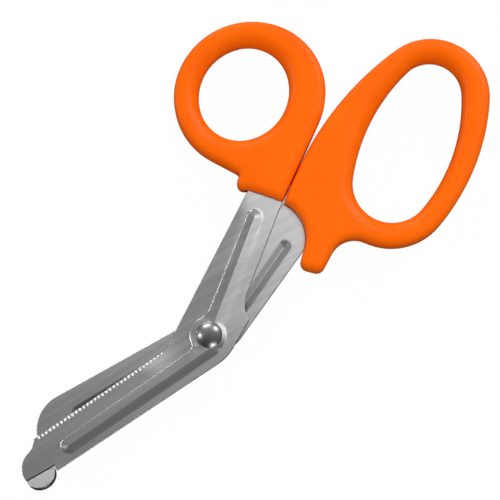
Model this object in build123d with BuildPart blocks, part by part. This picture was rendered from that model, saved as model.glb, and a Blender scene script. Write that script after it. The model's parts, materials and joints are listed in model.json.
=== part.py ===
from build123d import *
from math import atan2, cos, degrees, hypot, radians, sin, sqrt, tan
import os

# Angled bandage scissors, lying flat and closed, in millimetres.
# Sketch coordinates are measured from the pivot: X runs towards the handles, Y towards the thumb ring,
# and Z up from the plane in which the two blades meet.

# Steel sheet and pivot
SHEET = 1.8                     # thickness of both blades
BLADE_GAP = 0.06                # play between the two inner faces
RIB_HEIGHT = 0.8                # how far the pressed ribs stand out of the sheet
RIB_WALL = 0.3                  # how much narrower the hollow behind a rib is, on each side
HOLLOW_LOSS = 0.1               # how much shallower that hollow is than the rib is high
BOSS_HEIGHT = 0.6
BOSS_RADIUS = 6.1               # raised boss round the rivet, at its foot
BOSS_LAND = 4.2                 # flat top of the boss
RIVET_RADIUS = 2.0
RIVET_PLAY = 0.05               # running clearance of the serrated blade on the rivet
RIVET_HEAD_PLAY = 0.05          # clearance under the domed head
DOME_RADIUS = 4.05
DOME_HEIGHT = 2.15
TAIL_RADIUS = 3.4               # formed head on the far side
TAIL_HEIGHT = 0.9
TAIL_CHAMFER = 0.5

# Serrated blade
SHANK_RISE = 9.83               # upper edge above the pivot
SHANK_TOP_ANGLE = 1.0
SHANK_LOW_DROP = 6.2            # lower edge of the shank, carried on to the pivot
SHANK_LOW_ANGLE = 7.0
HEEL_DROP = 8.35
HEEL_ANGLE = 1.5
HEEL_X = 9.7                    # where the heel ends and the notch starts
NOTCH_END_X = 16.5
BACK_DROP = 10.07               # back of the cutting part, carried on to the pivot
BACK_ANGLE = 28.3
BACK_BEND = 15.0                # radius between the heel and the back
EDGE_START_X = -10.3
EDGE_BEND = 6.0                 # radius between the shank and the cutting edge
EDGE_ANGLE = 27.7
EDGE_LENGTH = 48.3
NOSE_ALONG = 51.3               # nose centre, along the cutting edge from its start
NOSE_BELOW = 8.55
NOSE_RADIUS = 5.92
DIP_RADIUS = 6.5                # hollow between the cutting edge and the nose
FOLD_OFFSET = 1.3               # fold of the tab, below the nose centre
FOLD_ANGLE = 32.7
TAB_RADIUS = 4.7
TAB_BEND = 28.0
TAB_BEND_RADIUS = 0.4
RELIEF = 0.25                   # saw cut between the tab and the back of the blade
TOOTH_PITCH = 1.37
GULLET_RADIUS = 0.52
GULLET_LENGTH = 0.95            # reach of a gullet into the outer face
GULLET_SLOPE = 50.0
TOOTH_MARGIN = 1.3              # plain edge before the first gullet and after the last

# Ribs of the serrated blade
SHANK_RIB_START = (2.0, 0.1)
SHANK_RIB_END = (38.7, 4.8)
SHANK_RIB_ROOT = 3.2            # half width near the pivot
SHANK_RIB_TIP = 2.4             # half width near the handle
CUT_RIB_START = (-3.0, -2.25)
CUT_RIB_END = (-49.6, 21.75)
CUT_RIB_HALF = 3.0

# Plain blade
PLAIN_BACK_RISE = 7.68          # back edge, carried on to the pivot
PLAIN_BACK_ANGLE = 32.7
PLAIN_BACK_LENGTH = 45.8        # from above the pivot to the rounded tip
PLAIN_WIDTH = 13.0
PLAIN_TIP_RADIUS = 11.5
PLAIN_TOP_ANGLE = 10.5          # upper edge of the shank
PLAIN_LOW_DROP = 8.42           # lower edge of the shank, carried on to the pivot
PLAIN_LOW_ANGLE = 7.46
PLAIN_SHOULDER = 10.0           # radius between the back edge and the shank
PLAIN_HEEL_BEND = 12.0          # radius between the cutting edge and the shank
BEVEL_WIDTH = 2.0               # ground bevel of the cutting edge, on the outer face
BEVEL_DEPTH = 1.4
BEVEL_START = 14.0              # from beside the pivot to the start of the bevel
PLAIN_SHANK_RIB_START = (5.0, -4.0)
PLAIN_SHANK_RIB_END = (35.1, -7.5)
PLAIN_SHANK_RIB_HALF = 2.1
PLAIN_CUT_RIB_START = (-3.0, 0.7)
PLAIN_CUT_RIB_END = (-39.5, 24.1)
PLAIN_CUT_RIB_HALF = 2.4

# Handles
HANDLE_THICK = 10.0
EDGE_ROUND = 2.0                # rounding of the outer edges
GRIP_ROUND = 4.2                # rounding of the loops' edges
CORNER = 2.5                    # rounded corners of the outlines
PARTING_GAP = 0.55              # between the two handles at their collars
TANG_LENGTH = 24.0              # blade held inside each handle
TANG_WIDTH = 6.4
TANG_ROOT = 6.0                 # run of the tang's shape inside the blade
FINGER_TANG_SWING = 25.0        # where the finger handle's tang leaves its swept collar
LOCK_RADIUS = 1.8               # hole through which the plastic grips the tang
LOCK_SETBACK = 2.0              # from the tang's rounded end to the hole's centre

# Thumb handle
COLLAR_X = 46.95                # lower corner of the collar
COLLAR_LEAN = 8.9
NUB_OUT = 1.0                   # rounded nub over the upper edge of the blade
NUB_RISE = 4.25
NUB_RADIUS = 2.2
NUB_FOOT = 0.5                  # hollow between the nub and the collar
NOTCH_RADIUS = 1.2              # hollow between the nub and the ring
RING_LEFT = 48.3                # straight side of the ring, above the nub
RING_LOW = 1.15
RING_LONG = 23.75
RING_WIDE = 22.7
RING_TILT = -33.0
THUMB_HOLE_SHIFT = (-0.4, 1.8)  # hole's centre from the ring's centre
THUMB_HOLE_LONG = 15.15
THUMB_HOLE_WIDE = 13.65
THUMB_HOLE_TILT = -3.0

# Finger handle
SWEEP_RADIUS = 12.1             # collar swept round the plain blade
SWEEP_END_X = 37.0
LOOP_TOP = 1.09                 # highest point of the loop's upper side, over the collar's corner
LOOP_TOP_RADIUS = 95.3
LOOP_END = (97.5, -25.8)
LOOP_END_RADIUS = 18.2
LOOP_FRONT = (67.3, -27.8)
LOOP_FRONT_RADIUS = 19.3
LOOP_LOW_RADIUS = 67.5
THROAT_RADIUS = 7.8
HOOK_LOW = 21.46
HOOK_X = 32.8
HOOK_LEAN = 13.5
HOLE_FRONT = (67.8, -27.7)
HOLE_FRONT_RADIUS = 12.1
HOLE_END = (98.4, -25.1)
HOLE_END_RADIUS = 9.85
HOLE_TOP_RADIUS = 59.0
HOLE_LOW_RADIUS = 53.7


def along(point, angle, reach):
    """The point at a distance from another, in a direction given in degrees."""
    return (point[0] + reach * cos(radians(angle)), point[1] + reach * sin(radians(angle)))


def crossing(p, p_angle, q, q_angle):
    """Where two lines cross, each given by a point and a direction."""
    turn = sin(radians(q_angle - p_angle))
    reach = ((q[0] - p[0]) * sin(radians(q_angle)) - (q[1] - p[1]) * cos(radians(q_angle))) / turn
    return along(p, p_angle, reach)


def between(p, q, share=0.5):
    """A point part of the way from one point to another."""
    return (p[0] + (q[0] - p[0]) * share, p[1] + (q[1] - p[1]) * share)


def heading(p, q):
    """The direction from one point to another, in degrees."""
    return degrees(atan2(q[1] - p[1], q[0] - p[0]))


def distance(p, q):
    return hypot(q[0] - p[0], q[1] - p[1])


def circles_meet(p, p_radius, q, q_radius, left):
    """Where two circles meet, to the left or the right of the way from p to q."""
    gap = distance(p, q)
    foot = (p_radius**2 - q_radius**2 + gap**2) / (2 * gap)
    rise = sqrt(p_radius**2 - foot**2)
    return along(along(p, heading(p, q), foot), heading(p, q) + (90 if left else -90), rise)


def line_meets_circle(p, angle, centre, radius):
    """The far point where a line from p meets a circle that it passes through."""
    reach = (centre[0] - p[0]) * cos(radians(angle)) + (centre[1] - p[1]) * sin(radians(angle))
    foot = along(p, angle, reach)
    return along(foot, angle, sqrt(radius**2 - distance(foot, centre) ** 2))


def circle_tangent(p, centre, radius, left):
    """Where the tangent from p touches a circle, on the left or the right seen from p."""
    swing = degrees(atan2(radius, sqrt(distance(p, centre) ** 2 - radius**2)))
    side = 1 if left else -1
    return along(p, heading(p, centre) + side * swing, sqrt(distance(p, centre) ** 2 - radius**2))


def oval_lean(long_radius, wide_radius):
    """How far the centres of an oval's arcs stand from its middle, with arcs that join at 45 degrees."""
    return (1 + sqrt(0.5)) * (long_radius - wide_radius)


def oval_arc(centre, long_radius, wide_radius, tilt, quarter):
    """Centre and radius of one of an oval's four arcs, counted round from one end of its long axis."""
    lean = oval_lean(long_radius, wide_radius)
    if quarter % 2:
        return along(centre, tilt + 90 * quarter, -lean), wide_radius + lean
    return along(centre, tilt + 90 * quarter, lean), long_radius - lean


def arc_about(centre, start, end, clockwise=False):
    """An arc round a centre from one point to another."""
    first = heading(centre, start)
    sweep = (heading(centre, end) - first) % 360
    if clockwise:
        sweep -= 360
    middle = along(centre, first + sweep / 2, distance(centre, start))
    return ThreePointArc(start, middle, end)


# Places that several pieces share, from the pivot
near_z = BLADE_GAP / 2
near_top = near_z + SHEET
far_z = -BLADE_GAP / 2
far_bottom = far_z - SHEET

edge_start = (EDGE_START_X, SHANK_RISE + EDGE_START_X * tan(radians(SHANK_TOP_ANGLE)))
edge_heading = 180 - EDGE_ANGLE


def from_edge(run, below):
    """A point of the serrated blade, along the cutting edge and below it."""
    return along(along(edge_start, edge_heading, run), edge_heading + 90, below)


collar_low = (COLLAR_X, COLLAR_X * tan(radians(SHANK_LOW_ANGLE)) - SHANK_LOW_DROP)
collar_top = crossing(collar_low, 90 + COLLAR_LEAN, (0, SHANK_RISE), SHANK_TOP_ANGLE)
collar_middle = between(collar_low, collar_top)
sweep_top = (COLLAR_X - PARTING_GAP * tan(radians(COLLAR_LEAN)), collar_low[1] - PARTING_GAP)
sweep_low = (SWEEP_END_X, -PLAIN_LOW_DROP - SWEEP_END_X * tan(radians(PLAIN_LOW_ANGLE)))
sweep_centre = circles_meet(sweep_top, SWEEP_RADIUS, sweep_low, SWEEP_RADIUS, left=False)
finger_tang_root = along(sweep_centre, -FINGER_TANG_SWING, SWEEP_RADIUS)

# Tip of the serrated blade: nose, fold line and tab
nose = from_edge(NOSE_ALONG, NOSE_BELOW)
edge_end = from_edge(EDGE_LENGTH, 0)
dip = circles_meet(edge_end, DIP_RADIUS, nose, NOSE_RADIUS + DIP_RADIUS, left=False)
nose_start = along(nose, heading(nose, dip), NOSE_RADIUS)
fold_heading = 180 - FOLD_ANGLE
fold_near_nose = along(nose, fold_heading + 90, FOLD_OFFSET)
fold_far = line_meets_circle(fold_near_nose, fold_heading, nose, NOSE_RADIUS)
fold_middle = along(fold_far, fold_heading, -TAB_RADIUS)
fold_near = along(fold_far, fold_heading, -2 * TAB_RADIUS)
relief_top = along(fold_near, fold_heading, -RELIEF)
back_heading = 180 - BACK_ANGLE
relief_low = crossing(relief_top, fold_heading + 90, (0, -BACK_DROP), back_heading)

# The part's origin is under the middle of its box, so the pivot's place follows from the outlines
tab_shift = (TAB_BEND_RADIUS + SHEET) * sin(radians(TAB_BEND))
tab_lean = cos(radians(TAB_BEND)) * cos(radians(fold_heading + 90))
tab_reach = hypot(cos(radians(fold_heading)), tab_lean) * TAB_RADIUS
left_x = along(fold_middle, fold_heading + 90, tab_shift)[0] - tab_reach
right_x = LOOP_END[0] + LOOP_END_RADIUS
loop_top_drop = sweep_top[1] + LOOP_TOP - LOOP_TOP_RADIUS
loop_top_run = sqrt((LOOP_TOP_RADIUS - LOOP_END_RADIUS) ** 2 - (LOOP_END[1] - loop_top_drop) ** 2)
loop_top_centre = (LOOP_END[0] - loop_top_run, loop_top_drop)
loop_low_centre = circles_meet(
    LOOP_FRONT, LOOP_LOW_RADIUS - LOOP_FRONT_RADIUS, LOOP_END, LOOP_LOW_RADIUS - LOOP_END_RADIUS, left=True
)
low_y = loop_low_centre[1] - LOOP_LOW_RADIUS
ring_skew = oval_lean(RING_LONG, RING_WIDE) * (1 - cos(radians(RING_TILT)))
ring_half_x = RING_LONG - ring_skew
ring_half_y = RING_WIDE + ring_skew
ring_centre = (RING_LEFT + ring_half_x, RING_LOW + ring_half_y)
high_y = ring_centre[1] + ring_half_y
PIVOT = Plane(origin=(-(left_x + right_x) / 2, -(low_y + high_y) / 2, HANDLE_THICK / 2))


def place(spot, height):
    """A point of the part, from a point and a height measured at the pivot."""
    return PIVOT.from_local_coords((*spot, height))


def direction(angle, climb=0.0):
    """A direction in degrees round the pivot's axis, climbing out of the blades' plane."""
    flat = cos(radians(climb))
    return Vector(flat * cos(radians(angle)), flat * sin(radians(angle)), sin(radians(climb)))


def ridge(level, up, start, end, start_half, end_half, height):
    """A pressed rib: a roof-shaped ridge with a rounded hip at each end, standing on a face."""
    way = direction(heading(start, end))
    normal = PIVOT.z_dir * up
    with BuildPart() as rib:
        for spot, half in ((start, start_half), (end, end_half)):
            with BuildSketch(Plane(place(spot, level), x_dir=normal.cross(way), z_dir=way)):
                Polygon((-half, 0), (half, 0), (0, height), align=None)
        loft(ruled=True)
        for spot, half in ((start, start_half), (end, end_half)):
            with Locations(Plane(place(spot, level), x_dir=PIVOT.x_dir, z_dir=normal)):
                Cone(half, 0, height, align=(Align.CENTER, Align.CENTER, Align.MIN))
    return rib.part


def pressing(level, up, ribs, inset=0.0, loss=0.0):
    """The boss round the pivot with its ribs, or with an inset and a loss the hollow behind them."""
    roofs = []
    for start, end, start_half, end_half in ribs:
        roofs.append(ridge(level, up, start, end, start_half - inset, end_half - inset, RIB_HEIGHT - loss))
    with BuildPart() as raised:
        with Locations(Plane(place((0, 0), level), x_dir=PIVOT.x_dir, z_dir=PIVOT.z_dir * up)):
            Cone(
                BOSS_RADIUS - inset,
                BOSS_LAND - inset,
                BOSS_HEIGHT - loss,
                align=(Align.CENTER, Align.CENTER, Align.MIN),
            )
        add(roofs)
        land = place((0, 0), level + up * (BOSS_HEIGHT - loss))
        with Locations(Plane(land, x_dir=PIVOT.x_dir, z_dir=PIVOT.z_dir * up)):
            Cylinder(
                BOSS_LAND - inset,
                RIB_HEIGHT,
                align=(Align.CENTER, Align.CENTER, Align.MIN),
                mode=Mode.SUBTRACT,
            )
    return raised.part


def tang(root):
    """Outline of a tang with its lock hole, running into a handle from the end of the blade."""
    with BuildSketch() as strip:
        with Locations((root[0] + (TANG_LENGTH - TANG_ROOT) / 2, root[1])):
            SlotOverall(TANG_LENGTH + TANG_ROOT, TANG_WIDTH)
        with Locations((root[0] + TANG_LENGTH - TANG_WIDTH / 2 - LOCK_SETBACK, root[1])):
            Circle(LOCK_RADIUS, mode=Mode.SUBTRACT)
    return strip.sketch


def soften(handle):
    """Round the outer edges and the grip's edges on both flats of a moulded handle."""
    flats = handle.faces().filter_by(Axis.Z).sort_by(Axis.Z)
    fillet(flats[0].outer_wire().edges() + flats[-1].outer_wire().edges(), radius=EDGE_ROUND)
    flats = handle.faces().filter_by(Axis.Z).sort_by(Axis.Z)
    fillet(flats[0].inner_wires()[0].edges() + flats[-1].inner_wires()[0].edges(), radius=GRIP_ROUND)


os.makedirs("parts", exist_ok=True)
thumb_tang = tang(collar_middle)
finger_tang = tang(finger_tang_root)
serrated_ribs = [
    (SHANK_RIB_START, SHANK_RIB_END, SHANK_RIB_ROOT, SHANK_RIB_TIP),
    (CUT_RIB_START, CUT_RIB_END, CUT_RIB_HALF, CUT_RIB_HALF),
]
plain_ribs = [
    (PLAIN_SHANK_RIB_START, PLAIN_SHANK_RIB_END, PLAIN_SHANK_RIB_HALF, PLAIN_SHANK_RIB_HALF),
    (PLAIN_CUT_RIB_START, PLAIN_CUT_RIB_END, PLAIN_CUT_RIB_HALF, PLAIN_CUT_RIB_HALF),
]

# Serrated blade: a bent pressing with a blunt tab folded up at its tip
heel_start = (0, -HEEL_DROP)
heel_corner = (HEEL_X, -HEEL_DROP - HEEL_X * tan(radians(HEEL_ANGLE)))
back_corner = crossing((0, -BACK_DROP), back_heading, heel_start, -HEEL_ANGLE)
notch_end = (NOTCH_END_X, NOTCH_END_X * tan(radians(SHANK_LOW_ANGLE)) - SHANK_LOW_DROP)
fold_axis_height = near_top + TAB_BEND_RADIUS
fold_way = direction(fold_heading)
tab_way = direction(fold_heading + 90, TAB_BEND)
tab_normal = fold_way.cross(tab_way)
tab_root = place(fold_middle, fold_axis_height) - tab_normal * (TAB_BEND_RADIUS + SHEET)
tooth_count = int((EDGE_LENGTH - 2 * TOOTH_MARGIN) / TOOTH_PITCH) + 1
first_tooth = (EDGE_LENGTH - (tooth_count - 1) * TOOTH_PITCH) / 2
gullet_way = direction(edge_heading - 90, -GULLET_SLOPE)
gullet_lift = direction(edge_heading - 90, 90 - GULLET_SLOPE) * GULLET_RADIUS
gullets = []
for tooth in range(tooth_count):
    gullet_foot = place(from_edge(first_tooth + tooth * TOOTH_PITCH, GULLET_LENGTH), near_top)
    gullets.append(Plane(gullet_foot + gullet_lift, x_dir=direction(edge_heading), z_dir=gullet_way))

near_relief = pressing(near_top, 1, serrated_ribs)
near_hollow = pressing(near_z, 1, serrated_ribs, RIB_WALL, HOLLOW_LOSS)

with BuildPart() as serrated_blade:
    with BuildSketch(PIVOT.offset(near_z)) as near_outline:
        with BuildLine():
            Line(collar_low, collar_top)
            Line(collar_top, edge_start)
            Line(edge_start, edge_end)
            arc_about(dip, edge_end, nose_start, clockwise=True)
            arc_about(nose, nose_start, fold_far)
            Line(fold_far, relief_top)
            Line(relief_top, relief_low)
            Line(relief_low, back_corner)
            Line(back_corner, heel_corner)
            TangentArc(notch_end, heel_corner, tangent=direction(180 + SHANK_LOW_ANGLE))
            Line(notch_end, collar_low)
        make_face()
        fillet(near_outline.vertices().sort_by_distance(edge_start)[0], radius=EDGE_BEND)
        fillet(near_outline.vertices().sort_by_distance(back_corner)[0], radius=BACK_BEND)
        add(thumb_tang)
    extrude(amount=SHEET)
    with BuildSketch(Plane(place(fold_middle, near_z), x_dir=fold_way, z_dir=fold_way.cross(PIVOT.z_dir))):
        Rectangle(2 * TAB_RADIUS, SHEET, align=(Align.CENTER, Align.MIN))
    revolve(axis=Axis(place(fold_middle, fold_axis_height), fold_way), revolution_arc=TAB_BEND)
    with BuildSketch(Plane(tab_root, x_dir=fold_way, z_dir=tab_normal)):
        with BuildLine():
            Line((-TAB_RADIUS, 0), (TAB_RADIUS, 0))
            ThreePointArc((TAB_RADIUS, 0), (0, TAB_RADIUS), (-TAB_RADIUS, 0))
        make_face()
    extrude(amount=SHEET)
    add(near_relief)
    add(near_hollow, mode=Mode.SUBTRACT)
    with Locations(PIVOT):
        Hole(RIVET_RADIUS + RIVET_PLAY)
    with Locations(*gullets):
        Cylinder(GULLET_RADIUS, 4 * SHEET, mode=Mode.SUBTRACT)
serrated_blade.part.label = "serrated_blade"
export_step(serrated_blade.part, "parts/serrated_blade.step")

# Plain blade: the other bent pressing, with a rounded tip and a ground bevel on its outer face
plain_heading = 180 - PLAIN_BACK_ANGLE
back_foot = (0, PLAIN_BACK_RISE)
shoulder = crossing(sweep_top, 180 - PLAIN_TOP_ANGLE, back_foot, plain_heading)
tip_touch = along(back_foot, plain_heading, PLAIN_BACK_LENGTH)
tip_centre = along(tip_touch, plain_heading + 90, PLAIN_TIP_RADIUS)
edge_foot = along(back_foot, plain_heading + 90, PLAIN_WIDTH)
tip_point = line_meets_circle(edge_foot, plain_heading, tip_centre, PLAIN_TIP_RADIUS)
plain_heel = crossing(edge_foot, plain_heading, (0, -PLAIN_LOW_DROP), -PLAIN_LOW_ANGLE)
bevel_foot = place(along(edge_foot, plain_heading, BEVEL_START), far_bottom)

far_relief = pressing(far_bottom, -1, plain_ribs)
far_hollow = pressing(far_z, -1, plain_ribs, RIB_WALL, HOLLOW_LOSS)

with BuildPart() as plain_blade:
    with BuildSketch(PIVOT.offset(far_bottom)) as far_outline:
        with BuildLine():
            Line(sweep_top, shoulder)
            Line(shoulder, tip_touch)
            arc_about(tip_centre, tip_touch, tip_point)
            Line(tip_point, plain_heel)
            Line(plain_heel, sweep_low)
            arc_about(sweep_centre, sweep_low, sweep_top)
        make_face()
        fillet(far_outline.vertices().sort_by_distance(shoulder)[0], radius=PLAIN_SHOULDER)
        fillet(far_outline.vertices().sort_by_distance(plain_heel)[0], radius=PLAIN_HEEL_BEND)
        add(finger_tang)
    extrude(amount=SHEET)
    with BuildSketch(Plane(bevel_foot, x_dir=direction(plain_heading - 90), z_dir=direction(plain_heading))):
        Polygon((0, 0), (BEVEL_WIDTH, 0), (0, -BEVEL_DEPTH), align=None)
    extrude(amount=PLAIN_BACK_LENGTH + PLAIN_TIP_RADIUS, mode=Mode.SUBTRACT)
    add(far_relief)
    add(far_hollow, mode=Mode.SUBTRACT)
    with Locations(PIVOT):
        Hole(RIVET_RADIUS)
plain_blade.part.label = "plain_blade"
export_step(plain_blade.part, "parts/plain_blade.step")

# Pivot rivet: a domed head over the serrated blade and a formed head under the plain one
head_z = near_top + BOSS_HEIGHT + RIVET_HEAD_PLAY
seat_z = far_bottom - BOSS_HEIGHT
dome_sphere = (DOME_RADIUS**2 + DOME_HEIGHT**2) / (2 * DOME_HEIGHT)
dome_swing = degrees(atan2(DOME_RADIUS, dome_sphere - DOME_HEIGHT)) / 2
dome_middle = along((0, head_z + DOME_HEIGHT - dome_sphere), 90 - dome_swing, dome_sphere)

with BuildPart() as pivot_rivet:
    with BuildSketch(Plane(PIVOT.origin, x_dir=PIVOT.x_dir, z_dir=-PIVOT.y_dir)):
        with BuildLine():
            Polyline(
                (0, head_z + DOME_HEIGHT),
                (0, seat_z - TAIL_HEIGHT),
                (TAIL_RADIUS - TAIL_CHAMFER, seat_z - TAIL_HEIGHT),
                (TAIL_RADIUS, seat_z - TAIL_HEIGHT + TAIL_CHAMFER),
                (TAIL_RADIUS, seat_z),
                (RIVET_RADIUS, seat_z),
                (RIVET_RADIUS, head_z),
                (DOME_RADIUS, head_z),
            )
            ThreePointArc((DOME_RADIUS, head_z), dome_middle, (0, head_z + DOME_HEIGHT))
        make_face()
    revolve(axis=Axis(PIVOT.origin, PIVOT.z_dir))
pivot_rivet.part.label = "pivot_rivet"
export_step(pivot_rivet.part, "parts/pivot_rivet.step")

# Thumb handle: plastic moulded over the serrated blade's tang, with a round ring and a nub at its collar
ring = (ring_centre, RING_LONG, RING_WIDE, RING_TILT)
ring_side, ring_side_radius = oval_arc(*ring, 3)
ring_end, ring_end_radius = oval_arc(*ring, 2)
ring_low_touch = circle_tangent(collar_low, ring_side, ring_side_radius, left=False)
ring_low_end = along(ring_side, RING_TILT - 45, ring_side_radius)
ring_left_start = along(ring_end, RING_TILT + 135, ring_end_radius)
ring_left = along(ring_end, 180, ring_end_radius)
nub_middle = (collar_top[0] - NUB_OUT + NUB_RADIUS, collar_top[1] + NUB_RISE - NUB_RADIUS)
nub_top = along(nub_middle, 90, NUB_RADIUS)
nub_end = line_meets_circle(collar_low, COLLAR_LEAN - 90, nub_middle, NUB_RADIUS)
notch = (RING_LEFT, nub_top[1])
thumb_hole_centre = (ring_centre[0] + THUMB_HOLE_SHIFT[0], ring_centre[1] + THUMB_HOLE_SHIFT[1])
thumb_hole = (thumb_hole_centre, THUMB_HOLE_LONG, THUMB_HOLE_WIDE, THUMB_HOLE_TILT)

with BuildPart() as thumb_handle:
    with BuildSketch(PIVOT.offset(-HANDLE_THICK / 2)) as ring_outline:
        with BuildLine():
            Line(collar_low, ring_low_touch)
            arc_about(ring_side, ring_low_touch, ring_low_end)
            for quarter in (0, 1):
                CenterArc(*oval_arc(*ring, quarter), RING_TILT + 90 * quarter - 45, 90)
            arc_about(ring_end, ring_left_start, ring_left)
            Polyline(ring_left, notch, nub_top)
            arc_about(nub_middle, nub_top, nub_end)
            Line(nub_end, collar_low)
        make_face()
        fillet(ring_outline.vertices().sort_by_distance(notch)[0], radius=NOTCH_RADIUS)
        fillet(ring_outline.vertices().sort_by_distance(nub_end)[0], radius=NUB_FOOT)
        with BuildLine():
            for quarter in range(4):
                CenterArc(*oval_arc(*thumb_hole, quarter), THUMB_HOLE_TILT + 90 * quarter - 45, 90)
        make_face(mode=Mode.SUBTRACT)
    extrude(amount=HANDLE_THICK)
    soften(thumb_handle)
    with BuildSketch(PIVOT.offset(near_z)):
        add(thumb_tang)
    extrude(amount=SHEET, mode=Mode.SUBTRACT)
thumb_handle.part.label = "thumb_handle"
export_step(thumb_handle.part, "parts/thumb_handle.step")

# Finger handle: plastic moulded over the plain blade's tang, with a long loop and a short hook
throat_y = -HOOK_LOW - THROAT_RADIUS
throat_run = sqrt((LOOP_FRONT_RADIUS + THROAT_RADIUS) ** 2 - (LOOP_FRONT[1] - throat_y) ** 2)
throat = (LOOP_FRONT[0] - throat_run, throat_y)
throat_touch = along(LOOP_FRONT, heading(LOOP_FRONT, throat), LOOP_FRONT_RADIUS)
hook_low = crossing((HOOK_X, -HOOK_LOW), 90 + HOOK_LEAN, (0, -HOOK_LOW), 0)
hook_top = crossing(sweep_low, heading(sweep_centre, sweep_low) - 90, hook_low, 90 + HOOK_LEAN)
front_touch = along(loop_low_centre, heading(loop_low_centre, LOOP_FRONT), LOOP_LOW_RADIUS)
end_low_touch = along(loop_low_centre, heading(loop_low_centre, LOOP_END), LOOP_LOW_RADIUS)
end_top_touch = along(loop_top_centre, heading(loop_top_centre, LOOP_END), LOOP_TOP_RADIUS)
loop_top = along(loop_top_centre, 90, LOOP_TOP_RADIUS)
side_radius = distance(loop_top, sweep_top) ** 2 / (2 * LOOP_TOP)
side_centre = along(loop_top, -90, side_radius)
hole_top_centre = circles_meet(
    HOLE_FRONT, HOLE_TOP_RADIUS - HOLE_FRONT_RADIUS, HOLE_END, HOLE_TOP_RADIUS - HOLE_END_RADIUS, left=False
)
hole_low_centre = circles_meet(
    HOLE_FRONT, HOLE_LOW_RADIUS - HOLE_FRONT_RADIUS, HOLE_END, HOLE_LOW_RADIUS - HOLE_END_RADIUS, left=True
)
hole_front_top = along(hole_top_centre, heading(hole_top_centre, HOLE_FRONT), HOLE_TOP_RADIUS)
hole_end_top = along(hole_top_centre, heading(hole_top_centre, HOLE_END), HOLE_TOP_RADIUS)
hole_front_low = along(hole_low_centre, heading(hole_low_centre, HOLE_FRONT), HOLE_LOW_RADIUS)
hole_end_low = along(hole_low_centre, heading(hole_low_centre, HOLE_END), HOLE_LOW_RADIUS)

with BuildPart() as finger_handle:
    with BuildSketch(PIVOT.offset(-HANDLE_THICK / 2)) as loop_outline:
        with BuildLine():
            arc_about(sweep_centre, sweep_top, sweep_low, clockwise=True)
            Polyline(sweep_low, hook_top, hook_low, (throat[0], -HOOK_LOW))
            arc_about(throat, (throat[0], -HOOK_LOW), throat_touch, clockwise=True)
            arc_about(LOOP_FRONT, throat_touch, front_touch)
            arc_about(loop_low_centre, front_touch, end_low_touch)
            arc_about(LOOP_END, end_low_touch, end_top_touch)
            arc_about(loop_top_centre, end_top_touch, loop_top)
            arc_about(side_centre, loop_top, sweep_top)
        make_face()
        fillet(loop_outline.vertices().sort_by_distance(hook_top)[0], radius=CORNER)
        fillet(loop_outline.vertices().sort_by_distance(hook_low)[0], radius=CORNER)
        with BuildLine():
            arc_about(HOLE_FRONT, hole_front_top, hole_front_low)
            arc_about(hole_low_centre, hole_front_low, hole_end_low)
            arc_about(HOLE_END, hole_end_low, hole_end_top)
            arc_about(hole_top_centre, hole_end_top, hole_front_top)
        make_face(mode=Mode.SUBTRACT)
    extrude(amount=HANDLE_THICK)
    soften(finger_handle)
    with BuildSketch(PIVOT.offset(far_bottom)):
        add(finger_tang)
    extrude(amount=SHEET, mode=Mode.SUBTRACT)
finger_handle.part.label = "finger_handle"
export_step(finger_handle.part, "parts/finger_handle.step")
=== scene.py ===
import json
import math

import bpy
import bmesh
import numpy as np
from mathutils import Matrix, Vector
from mathutils.geometry import delaunay_2d_cdt


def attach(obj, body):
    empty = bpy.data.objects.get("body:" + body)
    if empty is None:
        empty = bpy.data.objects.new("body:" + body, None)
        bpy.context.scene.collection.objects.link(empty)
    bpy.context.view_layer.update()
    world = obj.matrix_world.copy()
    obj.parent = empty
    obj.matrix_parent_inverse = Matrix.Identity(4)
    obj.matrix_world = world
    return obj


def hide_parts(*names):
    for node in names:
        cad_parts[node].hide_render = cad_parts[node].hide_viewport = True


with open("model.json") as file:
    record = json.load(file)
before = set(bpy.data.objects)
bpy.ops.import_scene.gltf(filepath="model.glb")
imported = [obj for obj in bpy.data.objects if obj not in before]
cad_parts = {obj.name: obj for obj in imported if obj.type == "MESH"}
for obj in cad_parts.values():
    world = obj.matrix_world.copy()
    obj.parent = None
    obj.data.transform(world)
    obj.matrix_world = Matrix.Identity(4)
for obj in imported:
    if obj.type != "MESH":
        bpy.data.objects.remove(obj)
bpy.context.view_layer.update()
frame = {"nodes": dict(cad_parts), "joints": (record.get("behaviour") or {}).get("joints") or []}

# Serrated blade: stainless sheet, blanked, pressed with a rib along the shank and another along the
# cutting part, and brushed. Gullets are ground into its edge and a blunt tab is folded up at its tip.
# Places are measured in millimetres from the pivot, and the outline is the one of the solid's flat face.
MM = 0.001
pivot = Vector(frame["joints"][0]["pos_m"])
SHEET = 1.8                        # thickness of the steel
PLAY = 0.03                        # half of the gap between the two blades
EDGE_ROUND = 0.18                  # broken edges of the sheet
ROUND_ANGLES = (0, 30, 60, 90)     # steps of that rounding, from the wall to the face
HOLD = 0.05                        # flat strip that keeps the rounding crisp
OUTLINE_STEP = 0.6
SLIVER = 1e-4                      # flat triangles between points of a straight edge are dropped
GRID_STEP = 0.75
CREASE_STEP = 0.4
CREASE_ROOM = 0.12                 # free strip between an outline and the points along a crease
CREASE_CELL = 0.05                 # one point of a crease in a cell of this size
GRID_ROOM = 0.3                    # free strip between an outline and the points of the grid
GRID_CELL = 0.4                    # the grid leaves out cells of this size that hold a crease
FLATNESS = 0.004                   # how far a corner of a flat face may lie off its level
HALVINGS = 24                      # steps of the search for the border of the boss
CREASE_OFFSETS = (-0.45, -0.2, -0.08, 0.0, 0.07, 0.14, 0.21, 0.28, 0.36, 0.5, 0.8)
RIDGE_OFFSETS = (-0.35, -0.15, 0.0, 0.15, 0.35)
BRUSH_ANGLE = 150.0                # direction of the brushing
GRAIN_STRETCH = (1 / 25, 1 / 800, 1 / 400)
STREAK_STRETCH = (1 / 15, 1 / 300, 1 / 200)
NEAR_HOLE = 2.05
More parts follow.
